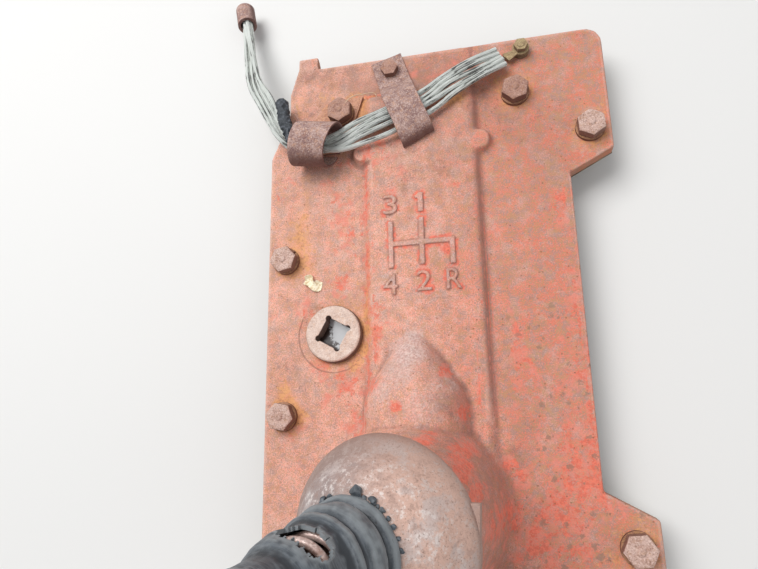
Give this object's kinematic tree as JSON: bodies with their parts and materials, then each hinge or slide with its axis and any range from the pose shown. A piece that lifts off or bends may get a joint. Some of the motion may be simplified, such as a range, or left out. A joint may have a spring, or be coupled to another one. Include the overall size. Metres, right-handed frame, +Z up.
{
  "type": "tractor gearbox top cover with gear lever",
  "caption": "Cast gearbox top cover with a ball-seated gear lever in its tower, torn rubber boot, filler plug, bolts and a clipped wiring loom.",
  "frame": {"origin": "underside of the gasket, midway between the two front bolts and level with the middle between the two left bolts", "axes": "+X to the tractor's right, +Y to its front, +Z up"},
  "size_m": [0.3231, 0.5399, 0.5401],
  "materials": {
    "painted_iron": "faded red paint worn to rust",
    "gasket_paper": "oily paper",
    "rusty_steel": "rusted",
    "dome_steel": "bare and stained",
    "lever_steel": "rusted and hand-worn",
    "boot_rubber": "cracked",
    "knob": "hand-worn",
    "wire_cloth": "braided cloth",
    "terminal_brass": "dull"
  },
  "bodies": {
    "cover": {"cover_casting": "painted_iron", "gasket": "gasket_paper", "cover_bolts": "rusty_steel", "lock_washers": "rusty_steel", "filler_plug": "rusty_steel", "loom_clip_left": "rusty_steel", "loom_clip_right": "rusty_steel", "clip_screw": "rusty_steel", "loom": "wire_cloth", "loom_terminals": "terminal_brass", "loom_end_clip": "rusty_steel"},
    "pivot_pin": {"pivot_pin": "lever_steel"},
    "lever": {"gear_lever": "lever_steel", "lever_knob": "knob", "dust_dome": "dome_steel", "lever_spring": "rusty_steel", "spring_collar": "lever_steel", "lever_boot": "boot_rubber"}
  },
  "joints": [
    {"name": "gate_select", "type": "hinge", "parent": "cover", "child": "pivot_pin", "pos_m": [-0.0175, -0.125, 0.112], "axis": [0, 1, 0], "range_deg": [0, 23]},
    {"name": "gear_engage", "type": "hinge", "parent": "pivot_pin", "child": "lever", "pos_m": [-0.0175, -0.125, 0.112], "axis": [0.9636, 0, 0.2672], "range_deg": [-10, 4]}
  ]
}
